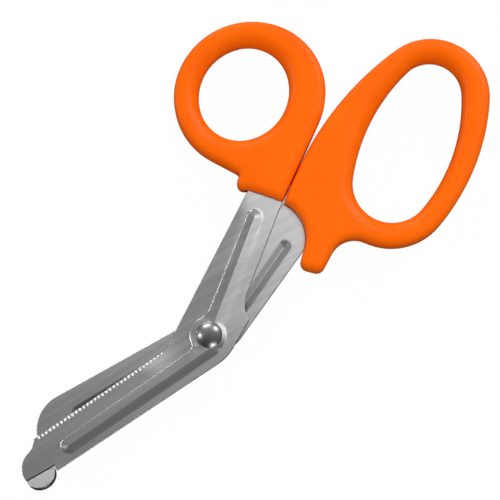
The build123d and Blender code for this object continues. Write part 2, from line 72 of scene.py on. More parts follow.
LOCK_HOLE_X = 50.0                 # the hole in the tang lies beyond this
BOSS_RAYS = 480                    # points round the border of the boss
BOSS_REACH = 8.6                   # the border of a rib is straight beyond this
NEAR_RIBS = [
    {
        "start": (2.0, 0.1),
        "end": (38.7, 4.8),
        "halves": (3.1, 2.45),
        "height": 0.8,
        "lip_side": 125.0,
        "crest": 0.3,
        "run_out": 0.9,
    },
    {
        "start": (-3.0, -2.25),
        "end": (-49.6, 21.75),
        "halves": (2.85, 2.6),
        "height": 0.8,
        "lip_side": 95.0,
        "crest": 1.3,
        "run_out": 0.3,
    },
]
RIB_STEP = 0.24                    # sharp lip of the pressing on the side of the upper edge
RIB_STEP_RUN = 0.32
BOSS_CENTRE = (-0.21, 0.4)         # the boss lies a little towards the upper edge
BOSS_RADIUS = 5.65
BOSS_HEIGHT = 0.6
BOSS_FLANK = 1.6
BLEND = 0.25                       # softness where ribs and boss run together
FOOT = 0.35                        # softness along the foot of a rib
FILLET = 2.4                       # hollow rounding where the border passes from the boss to a rib
LIP_SHARE = 0.8                    # how closely the lip keeps to the nearest of boss and ribs
LIP_TURN = (0.3, 0.8)              # how the lip fades towards the lower side of a rib or the boss
BOSS_LIP_SIDE = 115.0
BOSS_LIP = 0.3                     # lower lip round the boss
HOLLOW_INSET = 0.3
HOLLOW_LOSS = 0.1
MARGIN_TILT = 5.0                  # upper margin of the shank falls away from the rib
MARGIN_FADE = (-20.0, -3.0, 34.0, 44.0)
TAB_BEND = 28.0
TAB_BEND_RADIUS = 0.4
TAB_STEPS = 36
TAB_SLACK = (0.4, 0.15)            # the fold takes this much more of the sheet at its two ends
FOLD_POINTS = 28                   # points along the fold
FOLD_OFFSETS = (-0.42, -0.28, -0.14, 0.0, 0.14, 0.28, 0.42, 0.65, 0.8)
FOLD_SCORE = 0.3                   # score along the fold
FOLD_SCORE_HALF = 0.28
SCORE_SLACK = 0.3                  # how far the score passes the ends of the fold
TIP_X = -50.0                      # the folded tab lies beyond this
EDGE_START = (-10.3, 9.65)
EDGE_ANGLE = 152.3
GULLET_COUNT = 34
GULLET_PITCH = 1.37
GULLET_FIRST = 1.545
GULLET_RADIUS = 0.52
GULLET_LENGTH = 0.95
GULLET_SLOPE = 38.0
GULLET_SIDES = 24
GULLET_CUT = 4 * SHEET             # length of the cutter, which passes the whole sheet
CUT_SHARP = 38.0                   # edges steeper than this stay sharp


def turned(angle, reach=1.0):
    """A flat step in a direction given in degrees."""
    return np.array((math.cos(math.radians(angle)), math.sin(math.radians(angle)))) * reach


def face_loops(node, level):
    """Closed outlines of a solid's flat face at a height over the pivot, longest first, anticlockwise."""
    mesh = frame["nodes"][node].data
    spots = [tuple(round(c, 3) for c in (v.co - pivot) / MM) for v in mesh.vertices]
    edges = set()
    for face in mesh.polygons:
        corners = [spots[i] for i in face.vertices]
        if all(abs(c[2] - level) < FLATNESS for c in corners):
            for a, b in zip(corners, corners[1:] + corners[:1]):
                edges.add((a[:2], b[:2]))
    follow = {a: b for a, b in edges if (b, a) not in edges}
    loops = []
    while follow:
        first, spot = follow.popitem()
        loop = [first]
        while spot != first:
            loop.append(spot)
            spot = follow.pop(spot)
        loop = np.array(loop)
        nearby = np.roll(loop, -1, axis=0)
        area = np.sum(loop[:, 0] * nearby[:, 1] - loop[:, 1] * nearby[:, 0]) / 2
        loops.append((abs(area), loop if area > 0 else loop[::-1]))
    return [loop for area, loop in sorted(loops, key=lambda pair: -pair[0])]


def evenly(loop, step):
    """The same outline with its long runs divided."""
    spots = []
    for a, b in zip(loop, np.roll(loop, -1, axis=0)):
        parts = max(1, math.ceil(np.linalg.norm(b - a) / step))
        spots.extend(a + (b - a) * i / parts for i in range(parts))
    return np.array(spots)


def inward(loop, depth):
    """The outline moved to its left by a small depth."""
    ahead = np.roll(loop, -1, axis=0) - loop
    ahead /= np.linalg.norm(ahead, axis=1)[:, None]
    behind = np.roll(ahead, 1, axis=0)
    left = np.stack((-ahead[:, 1], ahead[:, 0]), axis=1)
    left_behind = np.stack((-behind[:, 1], behind[:, 0]), axis=1)
    middle = left + left_behind
    middle /= np.maximum(np.linalg.norm(middle, axis=1), 1e-6)[:, None]
    stretch = np.minimum(1 / np.maximum(np.sum(middle * left, axis=1), 0.4), 2.0)
    return loop + middle * (depth * stretch)[:, None]


def inside(spots, loops):
    """Which points lie inside an outline and outside its holes."""
    found = np.zeros(len(spots), bool)
    for loop in loops:
        for a, b in zip(loop, np.roll(loop, -1, axis=0)):
            if a[1] != b[1]:
                over = (a[1] > spots[:, 1]) != (b[1] > spots[:, 1])
                reach = a[0] + (spots[:, 1] - a[1]) * (b[0] - a[0]) / (b[1] - a[1])
                found ^= over & (spots[:, 0] < reach)
    return found


def room(spots, loops):
    """How far each point lies from the nearest outline."""
    best = np.full(len(spots), 1e9)
    for loop in loops:
        for a, b in zip(loop, np.roll(loop, -1, axis=0)):
            run = b - a
            share = np.clip((spots - a) @ run / (run @ run), 0, 1)
            best = np.minimum(best, np.linalg.norm(spots - a - share[:, None] * run, axis=1))
    return best


def ring_of(radius, count=72):
    """A clockwise circle round the pivot."""
    return np.array([turned(-360 * i / count, radius) for i in range(count)])


def smooth(value):
    value = np.clip(value, 0, 1)
    return value * value * (3 - 2 * value)


def ramp(value, softness):
    """Zero below zero and a straight slope above, with a soft turn between."""
    inner = np.clip((value + softness) / (2 * softness), 0, 1)
    return np.where(value > softness, value, softness * inner * inner)


def soft_max(a, b, softness):
    softness = np.clip(np.minimum(a, b), 1e-6, softness)
    mix = np.clip(0.5 + (a - b) / (2 * softness), 0, 1)
    return b + (a - b) * mix + softness * mix * (1 - mix)


def rib_line(rib):
    """A rib's start and end, the direction along it and the one across it."""
    start, end = np.array(rib["start"]), np.array(rib["end"])
    way = (end - start) / np.linalg.norm(end - start)
    return start, end, way, np.array((-way[1], way[0]))


def rib_place(spots, rib):
    """Each point's depth inside a rib's border, half width, side of the ridge and share of the length."""
    start, end = np.array(rib["start"]), np.array(rib["end"])
    run = end - start
    share = np.clip((spots - start) @ run / (run @ run), 0, 1)
    half = rib["halves"][0] + (rib["halves"][1] - rib["halves"][0]) * share
    away = spots - start - share[:, None] * run
    return half - np.linalg.norm(away, axis=1), half, away @ turned(rib["lip_side"]) / half, share


def lip_fade(side):
    """Share of the lip on a side of a rib or the boss, from the lower side to the upper one."""
    return smooth(LIP_TURN[0] + LIP_TURN[1] * side)


def border(spots, ribs, inset=0.0):
    """How far each point lies inside the border of the whole pressing, and how much lip it has there."""
    depths = [BOSS_RADIUS - inset - np.linalg.norm(spots - BOSS_CENTRE, axis=1)]
    uppers = [BOSS_LIP * lip_fade(spots @ turned(BOSS_LIP_SIDE) / BOSS_RADIUS)]
    for rib in ribs:
        depth, half, side, share = rib_place(spots, rib)
        depths.append(depth - inset)
        uppers.append(lip_fade(side))
    total = depths[0]
    for depth in depths[1:]:
        near = np.maximum(FILLET - np.abs(total - depth), 0) / FILLET
        total = np.maximum(total, depth) + near * near * FILLET / 4
    pulls = [np.exp(np.maximum(depth - np.maximum.reduce(depths), -20) / LIP_SHARE) for depth in depths]
    upper = sum(pull * share for pull, share in zip(pulls, uppers)) / sum(pulls)
    return total, upper


def pressed(spots, ribs, step, inset=0.0, loss=0.0):
    """Height of the pressing over the sheet, or depth of the hollow behind it, ribs and boss together."""
    depth, upper = border(spots, ribs, inset)
    lip = step * upper * smooth(depth / RIB_STEP_RUN)
    boss_height = BOSS_HEIGHT - loss
    depth = BOSS_RADIUS - inset - np.linalg.norm(spots - BOSS_CENTRE, axis=1)
    climb = BOSS_FLANK - ramp(BOSS_FLANK - ramp(depth, FOOT), FOOT)
    total = lip + (boss_height - lip) * np.maximum(climb, 0) / BOSS_FLANK
    for rib in ribs:
        depth, half, side, share = rib_place(spots, rib)
        depth = depth - inset
        half = half - inset
        foot = FOOT + (rib["run_out"] - FOOT) * smooth(-2 * side) * smooth(4 - 4 * share)
        roof = half - ramp(half - ramp(depth, foot), rib["crest"])
        height = rib["height"] - loss
        total = soft_max(total, lip + (height - lip) * np.clip(roof / half, 0, 1), BLEND * height)
    return total


def crease_spots(ribs, inset=0.0):
    """Points along the borders of the pressing, close together across them."""
    spots = []
    for offset in CREASE_OFFSETS:
        low = np.full(BOSS_RAYS, NEAR_HOLE)
        high = np.full(BOSS_RAYS, BOSS_REACH)
        ways = np.array([turned(360 * i / BOSS_RAYS) for i in range(BOSS_RAYS)])
        for halving in range(HALVINGS):
            middle = (low + high) / 2
            within = border(ways * middle[:, None], ribs, inset)[0] > offset
            low = np.where(within, middle, low)
            high = np.where(within, high, middle)
        spots.extend((ways * low[:, None])[low < BOSS_REACH - 0.1])
        for rib in ribs:
            start, end, way, side = rib_line(rib)
            parts = int(np.linalg.norm(end - start) / CREASE_STEP)
            for i in range(parts + 1):
                centre = start + (end - start) * i / parts
                half = rib["halves"][0] + (rib["halves"][1] - rib["halves"][0]) * i / parts
                for across in (half - inset - offset, inset + offset - half):
                    if np.linalg.norm(centre + side * across) > BOSS_REACH:
                        spots.append(centre + side * across)
            half = rib["halves"][1] - inset - offset
            ahead = math.degrees(math.atan2(way[1], way[0]))
            count = max(3, int(math.pi * half / CREASE_STEP))
            spots.extend(end + turned(ahead - 90 + 180 * i / count, half) for i in range(count + 1))
    for rib in ribs:
        start, end, way, side = rib_line(rib)
        parts = int(np.linalg.norm(end - start) / CREASE_STEP)
        for i in range(parts + 1):
            for across in RIDGE_OFFSETS:
                spots.append(start + (end - start) * i / parts + side * across)
    return np.array(spots)


def brushed_steel():
    """Satin stainless steel with fine scratches that all run one way."""
    material = bpy.data.materials.new("brushed_blade_steel")
    material.use_nodes = True
    nodes, links = material.node_tree.nodes, material.node_tree.links
    shader = nodes["Principled BSDF"]
    shader.inputs["Metallic"].default_value = 1.0
    place = nodes.new("ShaderNodeTexCoord")
    noises = []
    for stretch in (GRAIN_STRETCH, STREAK_STRETCH):
        brushing = nodes.new("ShaderNodeMapping")
        brushing.vector_type = "TEXTURE"
        brushing.inputs["Rotation"].default_value = (0, 0, math.radians(BRUSH_ANGLE))
        brushing.inputs["Scale"].default_value = stretch
        links.new(place.outputs["Object"], brushing.inputs["Vector"])
        noise = nodes.new("ShaderNodeTexNoise")
        noise.inputs["Scale"].default_value = 1.0
        noise.inputs["Detail"].default_value = 1.0
        links.new(brushing.outputs["Vector"], noise.inputs["Vector"])
        noises.append(noise)
    grain, streak = noises
    scratches = nodes.new("ShaderNodeMix")
    scratches.inputs["Factor"].default_value = 0.6
    links.new(streak.outputs["Fac"], scratches.inputs["A"])
    links.new(grain.outputs["Fac"], scratches.inputs["B"])
    colour = nodes.new("ShaderNodeValToRGB")
    colour.color_ramp.elements[0].position = 0.35
    colour.color_ramp.elements[0].color = (0.51, 0.51, 0.515, 1)
    colour.color_ramp.elements[1].position = 0.65
    colour.color_ramp.elements[1].color = (0.61, 0.61, 0.61, 1)
    links.new(scratches.outputs["Result"], colour.inputs["Fac"])
    links.new(colour.outputs["Color"], shader.inputs["Base Color"])
    rough = nodes.new("ShaderNodeMapRange")
    rough.inputs["From Min"].default_value = 0.3
    rough.inputs["From Max"].default_value = 0.7
    rough.inputs["To Min"].default_value = 0.27
    rough.inputs["To Max"].default_value = 0.30
    links.new(streak.outputs["Fac"], rough.inputs["Value"])
    links.new(rough.outputs["Result"], shader.inputs["Roughness"])
    return material


def grained_steel(name, scale, detail, dark, light, smoothest, roughest):
    """Bare steel whose colour and roughness both follow one fine grain."""
    material = bpy.data.materials.new(name)
    material.use_nodes = True
    nodes, links = material.node_tree.nodes, material.node_tree.links
    shader = nodes["Principled BSDF"]
    shader.inputs["Metallic"].default_value = 1.0
    place = nodes.new("ShaderNodeTexCoord")
    grain = nodes.new("ShaderNodeTexNoise")
    grain.inputs["Scale"].default_value = scale
    grain.inputs["Detail"].default_value = detail
    links.new(place.outputs["Object"], grain.inputs["Vector"])
    colour = nodes.new("ShaderNodeValToRGB")
    colour.color_ramp.elements[0].color = (*dark, 1)
    colour.color_ramp.elements[1].color = (*light, 1)
    links.new(grain.outputs["Fac"], colour.inputs["Fac"])
    links.new(colour.outputs["Color"], shader.inputs["Base Color"])
    rough = nodes.new("ShaderNodeMapRange")
    rough.inputs["To Min"].default_value = smoothest
    rough.inputs["To Max"].default_value = roughest
    links.new(grain.outputs["Fac"], rough.inputs["Value"])
    links.new(rough.outputs["Result"], shader.inputs["Roughness"])
    return material


def dull_dark_steel(name, dark, light):
    """Dull, uneven steel, darker than the brushed faces: sheared edges as the press leaves them, and
    painted shade in the hollow and the fold's score.
    """
    return grained_steel(name, 400.0, 2.0, (dark, dark, dark), (light, light, light), 0.45, 0.60)


blade_steel = brushed_steel()
# dark steel for the sheared edges, also used to paint the shade in the fold's score
edge_and_crease_shade_steel = dull_dark_steel("sheared_edge_and_painted_crease_shade_steel", 0.17, 0.24)


def cell_of(spot, size):
    """The square cell that a point lies in."""
    return round(spot[0] / size), round(spot[1] / size)


def sheet_mesh(name, loops, creases, top, bottom, bend=None):
    """A closed sheet-metal mesh: an outline with holes, a height for each face, and rounded edges."""
    loops = [evenly(loop, OUTLINE_STEP) for loop in loops]
    face_rings = [inward(loop, EDGE_ROUND + HOLD) for loop in loops]
    low, high = loops[0].min(axis=0), loops[0].max(axis=0)
    columns = np.arange(low[0], high[0], GRID_STEP)
    rows = np.arange(low[1], high[1], GRID_STEP * math.sqrt(0.75))
    grid = np.array([(x + (GRID_STEP / 2 if i % 2 else 0), y) for i, y in enumerate(rows) for x in columns])
    grid = grid[inside(grid, face_rings)]
    creases = creases[inside(creases, face_rings)]
    creases = creases[room(creases, face_rings) > CREASE_ROOM]
    keep = []
    taken = set()
    for spot in creases:
        cell = cell_of(spot, CREASE_CELL)
        if cell not in taken:
            taken.add(cell)
            keep.append(spot)
    creases = np.array(keep).reshape(-1, 2)
    grid = grid[room(grid, face_rings) > GRID_ROOM]
    if len(creases):
        crowd = {cell_of(spot, GRID_CELL) for spot in creases}
        grid = np.array([spot for spot in grid if cell_of(spot, GRID_CELL) not in crowd])
    flat = [spot for ring in face_rings for spot in ring] + list(creases) + list(grid)
    edges = []
    count = 0
    for ring in face_rings:
        edges.extend((count + i, count + (i + 1) % len(ring)) for i in range(len(ring)))
        count += len(ring)
    found = delaunay_2d_cdt([Vector(s) for s in flat], edges, [], 0, 1e-5)
    spots = np.array([tuple(v) for v in found[0]])
    new_place = {}
    for new, olds in enumerate(found[3]):
        for old in olds:
            new_place[old] = new
    triangles = np.array(found[2])
    triangles = triangles[inside(spots[triangles].mean(axis=1), face_rings)]
    one, two = (spots[triangles[:, i]] - spots[triangles[:, 0]] for i in (1, 2))
    triangles = triangles[np.abs(one[:, 0] * two[:, 1] - one[:, 1] * two[:, 0]) > SLIVER]
    vertices = [np.column_stack((spots, top(spots)))]
    faces = [tuple(t) for t in triangles]
    walls = []
    used = len(spots)
    for loop in loops:
        levels = []
        for angle in reversed(ROUND_ANGLES):
            ring = inward(loop, EDGE_ROUND * (1 - math.cos(math.radians(angle))))
            levels.append((ring, EDGE_ROUND * (1 - math.sin(math.radians(angle)))))
        walls.append(levels)
    under = []
    for levels in walls:
        places = []
        for ring, fall in levels:
            vertices.append(np.column_stack((ring, top(ring) - fall)))
            places.append(list(range(used, used + len(ring))))
            used += len(ring)
        for ring, fall in reversed(levels):
            vertices.append(np.column_stack((ring, bottom(ring) + fall)))
            places.append(list(range(used, used + len(ring))))
            used += len(ring)
        under.append(places)
    base = used
    vertices.append(np.column_stack((spots, bottom(spots))))
    faces.extend(tuple(base + i for i in reversed(t)) for t in triangles)
    count = 0
    wall_faces = []
    for ring, places in zip(face_rings, under):
        inner_top = [new_place[count + i] for i in range(len(ring))]
        inner_low = [base + i for i in inner_top]
        count += len(ring)
        chain = [inner_top] + places + [inner_low]
        for step, (upper, lower) in enumerate(zip(chain, chain[1:])):
            if step == len(ROUND_ANGLES):
                wall_faces.extend(range(len(faces), len(faces) + len(ring)))
            for i in range(len(ring)):
                j = (i + 1) % len(ring)
                faces.append((upper[i], lower[i], lower[j], upper[j]))
    points = np.concatenate(vertices)
    if bend:
        points = bend(points)
    mesh = bpy.data.meshes.new(name)
    mesh.from_pydata([tuple(pivot + Vector(p) * MM) for p in points], [], faces)
    mesh.materials.append(blade_steel)
    mesh.materials.append(edge_and_crease_shade_steel)
    for face in wall_faces:
        mesh.polygons[face].material_index = 1
    mesh.validate()
    return mesh


def brushed_piece(name, mesh):
    """A smoothly shaded object of brushed steel."""
    mesh.polygons.foreach_set("use_smooth", [True] * len(mesh.polygons))
    piece = bpy.data.objects.new(name, mesh)
    bpy.context.scene.collection.objects.link(piece)
    return piece


near_inner = PLAY
near_outer = PLAY + SHEET
near_faces = face_loops("serrated_blade", near_inner)
outline = near_faces[0]
lock_hole = [loop[::-1] for loop in near_faces[1:] if loop[:, 0].min() > LOCK_HOLE_X]

# the fold is the longest straight run beyond the cutting edge, and the tab is a half disc past it
lengths = np.linalg.norm(np.roll(outline, -1, axis=0) - outline, axis=1)
beyond = (outline[:, 0] < TIP_X) & (np.roll(outline, -1, axis=0)[:, 0] < TIP_X)
fold = int(np.argmax(np.where(beyond, lengths, 0)))
fold_from, fold_to = outline[fold], outline[(fold + 1) % len(outline)]
fold_way = (fold_to - fold_from) / lengths[fold]
fold_out = np.array((fold_way[1], -fold_way[0]))
bend_run = math.radians(TAB_BEND) * (TAB_BEND_RADIUS + SHEET / 2)
tab_radius = lengths[fold] / 2
tab_centre = (fold_from + fold_to) / 2 + fold_out * bend_run
tab_heading = math.degrees(math.atan2(-fold_way[1], -fold_way[0]))
tab_arc = [tab_centre + turned(tab_heading + 180 * i / TAB_STEPS, tab_radius) for i in range(TAB_STEPS + 1)]
outline = np.concatenate((outline[: fold + 1], np.array(tab_arc), outline[fold + 1 :]))
fold_creases = []
for i in range(FOLD_POINTS):
    for run in FOLD_OFFSETS:
        fold_creases.append(fold_from + (fold_to - fold_from) * (i + 0.5) / FOLD_POINTS + fold_out * run)


def tab_bend(points):
    """Fold the tab up round an axis over the outer face."""
    run = (points[:, :2] - fold_from) @ fold_out
    along_fold = (points[:, :2] - fold_from) @ fold_way
    moving = (run > 0) & (along_fold > -TAB_SLACK[0]) & (along_fold < lengths[fold] + TAB_SLACK[1])
    axis_height = near_outer + TAB_BEND_RADIUS
    reach = axis_height - points[:, 2]
    angle = np.clip(run / bend_run, 0, 1) * math.radians(TAB_BEND)
    rest = np.maximum(run - bend_run, 0)
    new_run = reach * np.sin(angle) + rest * np.cos(angle)
    height = axis_height - reach * np.cos(angle) + rest * np.sin(angle)
    moved = points.copy()
    moved[moving, :2] += ((new_run - run)[:, None] * fold_out)[moving]
    moved[moving, 2] = height[moving]
    return moved


def fold_score(spots):
    """The score along the inside of the fold: one in its middle and zero at its sides."""
    run = (spots - fold_from) @ fold_out
    along_fold = (spots - fold_from) @ fold_way
    in_length = (along_fold > -SCORE_SLACK) & (along_fold < lengths[fold] + SCORE_SLACK)
    return np.clip(1 - np.abs(run) / FOLD_SCORE_HALF, 0, 1) * in_length


def near_top(spots):
    raised = pressed(spots, NEAR_RIBS, RIB_STEP)
    start, end, way, across = rib_line(NEAR_RIBS[0])
    over = np.maximum((spots - start) @ across - NEAR_RIBS[0]["halves"][0], 0)
    a, b, c, d = MARGIN_FADE
    fade = smooth((spots[:, 0] - a) / (b - a)) * (1 - smooth((spots[:, 0] - c) / (d - c)))
    fall = over * math.tan(math.radians(MARGIN_TILT)) * fade
    return near_outer + raised - fall - FOLD_SCORE * fold_score(spots)


def near_bottom(spots):
    return near_inner + pressed(spots, NEAR_RIBS, 0.0, HOLLOW_INSET, HOLLOW_LOSS)


near_mesh = sheet_mesh(
    "serrated_sheet",
    [outline, ring_of(NEAR_HOLE)] + lock_hole,
    np.concatenate((crease_spots(NEAR_RIBS), np.array(fold_creases))),
    near_top,
    near_bottom,
    tab_bend,
)
# the score's upward faces take the dark edge steel, which paints the shade in the fold's crease
for face in near_mesh.polygons:
    spot = np.array((face.center - pivot)[:2]) / MM
    if face.normal.z > 0.3 and fold_score(spot[None])[0] > 0:
        face.material_index = 1


def ground_glint_steel():
    """Ground steel of the gullets, with a finer grain and a colour far brighter than the brushed faces',
    which paints their glints.
    """
    return grained_steel(
        "ground_gullet_painted_glint_steel", 5000.0, 2.0, (0.80, 0.80, 0.80), (0.92, 0.92, 0.92), 0.45, 0.60
    )


def gullet_row():
    """Node tree that cuts a row of round gullets into an edge."""
    tree = bpy.data.node_groups.new("gullet_row", "GeometryNodeTree")
    face = tree.interface
    face.new_socket("Geometry", in_out="INPUT", socket_type="NodeSocketGeometry")
    for label, kind in (
        ("Count", "NodeSocketInt"),
        ("Radius", "NodeSocketFloat"),
        ("Depth", "NodeSocketFloat"),
        ("First", "NodeSocketVector"),
        ("Pitch", "NodeSocketVector"),
        ("Turn", "NodeSocketRotation"),
        ("Ground Glint Steel", "NodeSocketMaterial"),
    ):
        face.new_socket(label, in_out="INPUT", socket_type=kind)
    face.new_socket("Geometry", in_out="OUTPUT", socket_type="NodeSocketGeometry")
    given = tree.nodes.new("NodeGroupInput")
    result = tree.nodes.new("NodeGroupOutput")
    row = tree.nodes.new("GeometryNodeMeshLine")
    cutter = tree.nodes.new("GeometryNodeMeshCylinder")
    cutter.inputs["Vertices"].default_value = GULLET_SIDES
    spread = tree.nodes.new("GeometryNodeInstanceOnPoints")
    real = tree.nodes.new("GeometryNodeRealizeInstances")
    cut = tree.nodes.new("GeometryNodeMeshBoolean")
    cut.operation = "DIFFERENCE"
    cut.solver = "EXACT"
    coat = tree.nodes.new("GeometryNodeSetMaterial")
    links = tree.links
    links.new(given.outputs["Count"], row.inputs["Count"])
    links.new(given.outputs["First"], row.inputs["Start Location"])
    links.new(given.outputs["Pitch"], row.inputs["Offset"])
    links.new(given.outputs["Radius"], cutter.inputs["Radius"])
    links.new(given.outputs["Depth"], cutter.inputs["Depth"])
    links.new(row.outputs["Mesh"], spread.inputs["Points"])
    links.new(cutter.outputs["Mesh"], spread.inputs["Instance"])
    links.new(given.outputs["Turn"], spread.inputs["Rotation"])
    links.new(spread.outputs["Instances"], real.inputs["Geometry"])
    links.new(real.outputs["Geometry"], coat.inputs["Geometry"])
    links.new(given.outputs["Ground Glint Steel"], coat.inputs["Material"])
    links.new(given.outputs["Geometry"], cut.inputs["Mesh 1"])
    links.new(coat.outputs["Geometry"], cut.inputs["Mesh 2"])
    links.new(cut.outputs["Mesh"], result.inputs["Geometry"])
    return tree


def plain_copy(piece):
    """The evaluated mesh of an object whose modifiers are done."""
    depsgraph = bpy.context.evaluated_depsgraph_get()
    return bpy.data.meshes.new_from_object(piece.evaluated_get(depsgraph), depsgraph=depsgraph)


edge_way = turned(EDGE_ANGLE)
edge_out = turned(EDGE_ANGLE - 90)
slope = math.radians(GULLET_SLOPE)
gullet_axis = Vector((*(edge_out * math.cos(slope)), -math.sin(slope)))
gullet_up = Vector((*(edge_out * math.sin(slope)), math.cos(slope)))
first_foot = np.array(EDGE_START) + edge_way * GULLET_FIRST - edge_out * GULLET_LENGTH
first_gullet = pivot + (Vector((*first_foot, near_outer)) + gullet_up * GULLET_RADIUS) * MM
blank = bpy.data.objects.new("serrated_blank", near_mesh)
bpy.context.scene.collection.objects.link(blank)
cutting = blank.modifiers.new("gullets", "NODES")
cutting.node_group = gullet_row()
settings = {
    "Count": GULLET_COUNT,
    "Radius": GULLET_RADIUS * MM,
    "Depth": GULLET_CUT * MM,
    "First": first_gullet,
    "Pitch": Vector((*edge_way, 0)) * GULLET_PITCH * MM,
    "Turn": gullet_axis.to_track_quat("Z", "X").to_euler(),
    # the gullets' faces take a steel painted bright for their glints
    "Ground Glint Steel": ground_glint_steel(),
}
for item in cutting.node_group.interface.items_tree:
    if item.in_out == "INPUT" and item.name in settings:
        cutting[item.identifier] = settings[item.name]
cut_mesh = plain_copy(blank)
bpy.data.objects.remove(blank)
serrated = brushed_piece("serrated_blade_steel", cut_mesh)
serrated.data.set_sharp_from_angle(angle=math.radians(CUT_SHARP))
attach(serrated, "thumb_half")
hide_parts("serrated_blade")

# Plain blade: the other pressing of the same brushed sheet, with its ribs standing out of the far face,
# so that the face turned to the serrated blade shows them as hollows. Its edge is ground on the far side.
FAR_HOLE = 2.0
FAR_RIBS = [
    {
        "start": (5.0, -4.0),
        "end": (35.1, -7.5),
        "halves": (2.2, 2.2),
        "height": 0.6,
        "lip_side": 125.0,
        "crest": 0.3,
        "run_out": 0.3,
    },
    {
        "start": (-2.3, 1.9),
        "end": (-39.5, 24.1),
        "halves": (2.5, 2.5),
        "height": 0.8,
        "lip_side": 95.0,
        "crest": 0.3,
        "run_out": 0.3,
    },
]
BACK_RISE = 7.68
BACK_ANGLE = 147.3
PLAIN_WIDTH = 13.0
BEVEL_WIDTH = 2.0
BEVEL_DEPTH = 1.4
BEVEL_FADE = (12.0, 16.0)
far_inner = -PLAY
far_outer = -PLAY - SHEET
far_faces = face_loops("plain_blade", far_inner)
far_lock_hole = [loop[::-1] for loop in far_faces[1:] if loop[:, 0].min() > LOCK_HOLE_X]
back_way = turned(BACK_ANGLE)
back_in = turned(BACK_ANGLE + 90)


def far_top(spots):
    return far_inner - pressed(spots, FAR_RIBS, 0.0, HOLLOW_INSET, HOLLOW_LOSS)


def far_bottom(spots):
    raised = pressed(spots, FAR_RIBS, 0.0)
    from_back = spots - np.array((0, BACK_RISE))
    from_edge = PLAIN_WIDTH - from_back @ back_in
    ground = ramp(BEVEL_WIDTH - from_edge, 0.1) * BEVEL_DEPTH / BEVEL_WIDTH
    ground = np.minimum(ground, BEVEL_DEPTH)
    run = from_back @ back_way
    ground = ground * smooth((run - BEVEL_FADE[0]) / (BEVEL_FADE[1] - BEVEL_FADE[0]))
    return far_outer - raised + ground


far_mesh = sheet_mesh(
    "plain_blade_steel",
    [far_faces[0], ring_of(FAR_HOLE)] + far_lock_hole,
    crease_spots(FAR_RIBS, HOLLOW_INSET),
    far_top,
    far_bottom,
)

# the hollow beside the cutting edge takes a darker, duller steel, which paints the shade that falls in it
far_mesh.materials.append(dull_dark_steel("hollow_painted_shade_steel", 0.2, 0.3))
middles = np.array([tuple(face.center) for face in far_mesh.polygons]) - np.array(pivot)
hollow = rib_place(middles[:, :2] / MM, FAR_RIBS[1])[0] > HOLLOW_INSET
for face, is_hollow in zip(far_mesh.polygons, hollow):
    if is_hollow and face.normal.z > 0.3:
        face.material_index = 2
plain = brushed_piece("plain_blade_steel", far_mesh)
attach(plain, "finger_half")
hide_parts("plain_blade")

# Pivot rivet: turned from steel, with a polished dome over the serrated blade's boss and a formed head
# under the plain blade. Its shank passes through both blades.
RIVET_RADIUS = 2.0
DOME_RADIUS = 4.05
DOME_HEIGHT = 2.15
HEAD_PLAY = 0.05
DOME_SEAT = near_outer + BOSS_HEIGHT + HEAD_PLAY
DOME_RIM = 0.2                     # short rounded rim under the dome
RIM_RISE = 0.12                    # broken lower edge of that rim
RIM_RUN = 0.1
DOME_STEPS = 24
TAIL_RADIUS = 3.4
TAIL_SEAT = far_outer - BOSS_HEIGHT
TAIL_HEIGHT = 0.9
TAIL_ROUND = 0.5
TAIL_STEPS = 6
TAIL_BREAK = 0.05                  # broken inner edge and slight crown of the formed head
TURNED_STEPS = 96
RIVET_SHARP = 50.0


def turned_mesh(name, profile):
    """A closed shape turned round the pivot's axis from half a section, listed from its top to its foot."""
    vertices = []
    faces = []
    for radius, height in profile[1:-1]:
        for i in range(TURNED_STEPS):
            x, y = turned(360 * i / TURNED_STEPS, radius)
            vertices.append((x, y, height))
    rings = len(profile) - 2
    for ring in range(rings - 1):
        for i in range(TURNED_STEPS):
            j = (i + 1) % TURNED_STEPS
            a, b = ring * TURNED_STEPS, (ring + 1) * TURNED_STEPS
            faces.append((a + i, b + i, b + j, a + j))
    for pole, ring, order in ((profile[0], 0, 1), (profile[-1], rings - 1, -1)):
        vertices.append((0, 0, pole[1]))
        for i in range(TURNED_STEPS):
            j = (i + 1) % TURNED_STEPS
            corners = (len(vertices) - 1, ring * TURNED_STEPS + i, ring * TURNED_STEPS + j)
            faces.append(corners[::order])
    mesh = bpy.data.meshes.new(name)
    mesh.from_pydata([tuple(pivot + Vector(v) * MM) for v in vertices], [], faces)
    mesh.polygons.foreach_set("use_smooth", [True] * len(mesh.polygons))
    return mesh


dome_sphere = (DOME_RADIUS**2 + (DOME_HEIGHT - DOME_RIM) ** 2) / (2 * (DOME_HEIGHT - DOME_RIM))
dome_swing = math.degrees(math.asin(DOME_RADIUS / dome_sphere))
dome_top = DOME_SEAT + DOME_HEIGHT
profile = []
for i in range(DOME_STEPS + 1):
    x, y = turned(90 - dome_swing * i / DOME_STEPS, dome_sphere)
    profile.append((x, dome_top - dome_sphere + y))
profile[0] = (0, dome_top)
profile.append((DOME_RADIUS, DOME_SEAT + RIM_RISE))
profile.append((DOME_RADIUS - RIM_RUN, DOME_SEAT))
profile.append((RIVET_RADIUS, DOME_SEAT))
profile.append((RIVET_RADIUS, TAIL_SEAT))
profile.append((TAIL_RADIUS - TAIL_BREAK, TAIL_SEAT))
for i in range(TAIL_STEPS + 1):
    x, y = turned(-90 * i / TAIL_STEPS, TAIL_ROUND)
    profile.append((TAIL_RADIUS - TAIL_ROUND + x, TAIL_SEAT - TAIL_HEIGHT + TAIL_ROUND + y))
profile.append((0, TAIL_SEAT - TAIL_HEIGHT - TAIL_BREAK))


